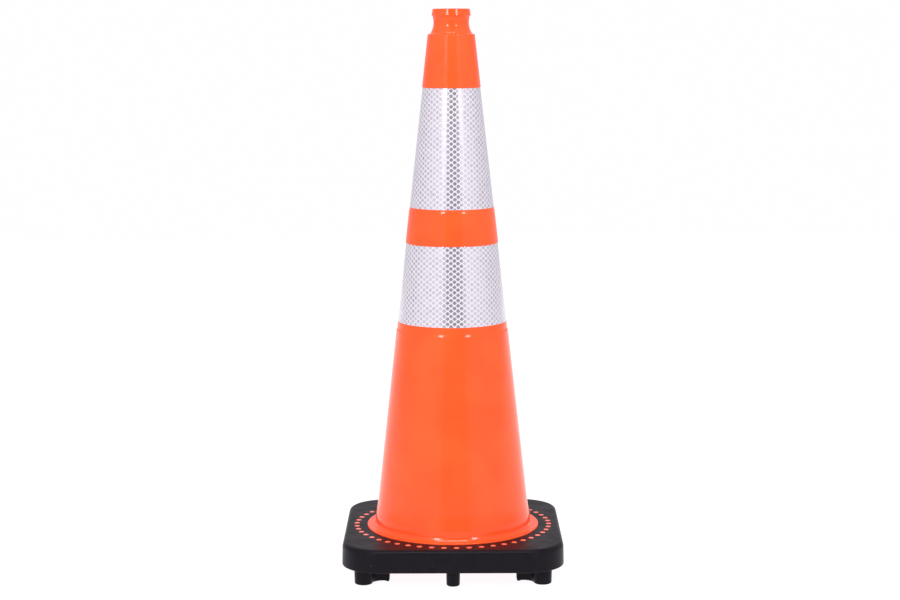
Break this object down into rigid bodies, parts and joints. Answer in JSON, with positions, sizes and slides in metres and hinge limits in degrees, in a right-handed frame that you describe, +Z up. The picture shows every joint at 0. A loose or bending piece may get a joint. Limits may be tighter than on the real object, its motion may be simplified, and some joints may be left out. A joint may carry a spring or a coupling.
{
  "type": "traffic cone",
  "caption": "Tall orange traffic cone with a grip neck, two white reflective collars, and a rounded square black base on short feet.",
  "frame": {"origin": "on the cone's axis, in the plane under the feet", "axes": "+Z up the cone's axis from the floor to the rim, +X and +Y square to the base's sides, -Y the front"},
  "size_m": [0.2788, 0.2788, 0.7112],
  "materials": {
    "orange_pvc": "glossy fluorescent orange flexible PVC, injection moulded",
    "black_pvc": "semi-matt black recycled flexible PVC, moulded",
    "white_sheeting": "white prismatic retroreflective sheeting with a fine diamond seal pattern under a clear film"
  },
  "bodies": {
    "root": {"cone_body": "orange_pvc", "base": "black_pvc", "upper_collar": "white_sheeting", "lower_collar": "white_sheeting"}
  },
  "joints": []
}
